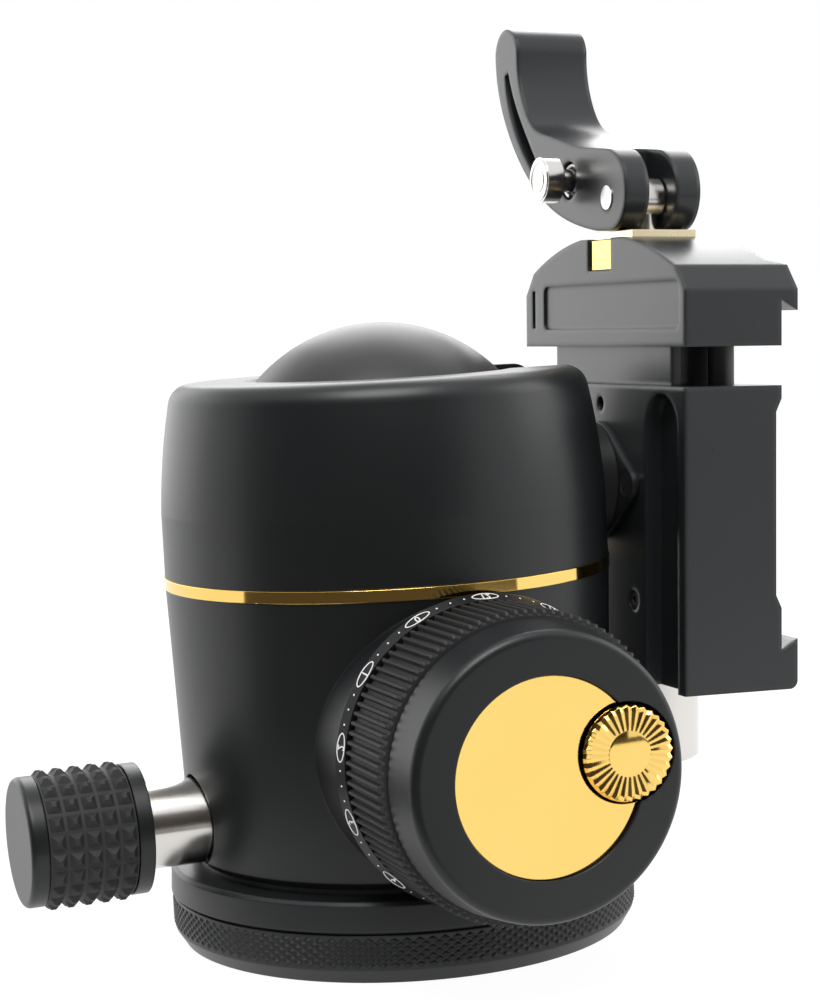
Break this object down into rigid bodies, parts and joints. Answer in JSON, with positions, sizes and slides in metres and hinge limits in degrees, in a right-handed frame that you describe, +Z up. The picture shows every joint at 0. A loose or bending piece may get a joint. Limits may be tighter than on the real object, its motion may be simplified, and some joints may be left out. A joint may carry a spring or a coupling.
{
  "type": "tripod ball head",
  "caption": "Compact tripod ball head with a knurled panning base, locking knobs, a dropped ball stem in its side notch and a lever-operated dovetail plate clamp.",
  "frame": {"origin": "centre of the tripod thread's mouth, in the plane of the base's underside", "axes": "+Z up along the pan axis; the main knob points along -Y, the pan knob along -X, and the ball's stem and the clamp lie towards +X"},
  "size_m": [0.0889, 0.0771, 0.107],
  "materials": {
    "black_anodised": "satin black anodised",
    "clamp_anodised": "satin dark grey anodised",
    "ball_coating": "fine matte black coating",
    "polished_brass": "polished, gold coloured",
    "pale_brass": "plain, pale",
    "dial_black": "black with white printed scale",
    "grip_rubber": "moulded, matte",
    "stainless": "turned stainless",
    "steel": "plain",
    "dark_steel": "black oxide",
    "bronze": "sintered bronze",
    "bearing_plastic": "black acetal"
  },
  "bodies": {
    "base": {"pan_base": "black_anodised", "tripod_thread_insert": "steel", "pan_bearing_washer": "bearing_plastic", "pan_retainer": "steel", "retainer_screws": "dark_steel"},
    "housing": {"lower_housing": "black_anodised", "brass_ring": "polished_brass", "upper_collar": "black_anodised", "upper_seat_ring": "bearing_plastic", "pan_bush": "bronze", "spindle_bush": "bronze", "wedge_guide_plate": "steel", "cup_spring_washer": "steel"},
    "cup": {"clamp_cup": "bearing_plastic"},
    "wedge": {"wedge_block": "steel"},
    "main_knob": {"main_spindle": "steel", "spindle_clip": "dark_steel", "knob_core": "black_anodised", "dial_ring": "dial_black", "knob_grip": "grip_rubber", "knob_cap": "black_anodised", "gold_disc": "polished_brass", "knob_screw": "dark_steel"},
    "tension": {"tension_screw": "polished_brass"},
    "stop": {"tension_stop": "steel"},
    "pan_knob": {"pan_shaft": "stainless", "pan_knob_core": "black_anodised", "pan_knob_grip": "grip_rubber", "pan_knob_cap": "black_anodised"},
    "pan_brake": {"pan_brake_pad": "bronze"},
    "ball": {"ball_stem": "ball_coating"},
    "clamp": {"stem_flange": "clamp_anodised", "clamp_body": "clamp_anodised", "clamp_mount_screws": "dark_steel", "set_screws": "dark_steel", "guide_pins": "dark_steel", "draw_rod": "stainless", "pivot_pin": "stainless", "jaw_springs": "steel"},
    "adjuster": {"adjusting_nut": "stainless"},
    "jaw": {"movable_jaw": "clamp_anodised", "cam_wear_plate": "pale_brass", "brass_tab": "polished_brass"},
    "lever": {"lever": "clamp_anodised", "plunger_spring": "steel"},
    "plunger": {"lock_plunger": "stainless"}
  },
  "joints": [
    {"name": "pan", "type": "hinge", "parent": "base", "child": "housing", "pos_m": [0, 0, 0], "axis": [0, 0, 1], "continuous": true},
    {"name": "main_knob_turn", "type": "hinge", "parent": "housing", "child": "main_knob", "pos_m": [0, 0, 0.02437], "axis": [0, -1, 0], "range_deg": [0, 300]},
    {"name": "wedge_slide", "type": "slide", "parent": "housing", "child": "wedge", "axis": [0, 1, 0], "range_m": [0, 0.0011]},
    {"name": "cup_drop", "type": "slide", "parent": "housing", "child": "cup", "axis": [0, 0, -1], "range_m": [0, 0.0002], "deforming": ["cup_spring_washer"]},
    {"name": "tension_turn", "type": "hinge", "parent": "main_knob", "child": "tension", "pos_m": [0.00855, -0.042, 0.02596], "axis": [0, -1, 0], "range_deg": [-180, 180]},
    {"name": "stop_slide", "type": "slide", "parent": "main_knob", "child": "stop", "axis": [0, 1, 0], "range_m": [-0.0004, 0.0004]},
    {"name": "pan_lock_turn", "type": "hinge", "parent": "housing", "child": "pan_knob", "pos_m": [0, 0, 0.015], "axis": [1, 0, 0], "range_deg": [0, 135]},
    {"name": "pan_brake_slide", "type": "slide", "parent": "housing", "child": "pan_brake", "axis": [1, 0, 0], "range_m": [0, 0.00031]},
    {"name": "ball_raise", "type": "hinge", "parent": "housing", "child": "ball", "pos_m": [0, 0, 0.051], "axis": [0, -1, 0], "range_deg": [0, 112]},
    {"name": "clamp_turn", "type": "hinge", "parent": "ball", "child": "clamp", "pos_m": [0, 0, 0.051], "axis": [0.9991, 0, -0.0419], "range_deg": [-120, 120]},
    {"name": "lever_turn", "type": "hinge", "parent": "clamp", "child": "lever", "pos_m": [0.03549, 0, 0.08334], "axis": [0.9991, 0, -0.0419], "range_deg": [0, 165]},
    {"name": "jaw_slide", "type": "slide", "parent": "clamp", "child": "jaw", "axis": [-0.0419, 0, -0.9991], "range_m": [0, 0.00181], "deforming": ["jaw_springs"]},
    {"name": "adjuster_turn", "type": "hinge", "parent": "clamp", "child": "adjuster", "pos_m": [0.03286, 0, 0.0206], "axis": [0.0419, 0, 0.9991], "range_deg": [-180, 180]},
    {"name": "plunger_push", "type": "slide", "parent": "lever", "child": "plunger", "axis": [0.9991, 0, -0.0419], "range_m": [0, 0.0016], "stiffness_N_per_m": 300, "springref_m": -0.003}
  ],
  "couplings": [
    {"joint": "wedge_slide", "follows": "main_knob_turn", "m_per_rad": 0.00019894},
    {"joint": "cup_drop", "follows": "main_knob_turn", "m_per_rad": 0.000029842},
    {"joint": "stop_slide", "follows": "tension_turn", "m_per_rad": 0.00011141},
    {"joint": "pan_brake_slide", "follows": "pan_lock_turn", "m_per_rad": 0.00012732},
    {"joint": "jaw_slide", "follows": "lever_turn", "m_per_rad": 0.00062504}
  ]
}
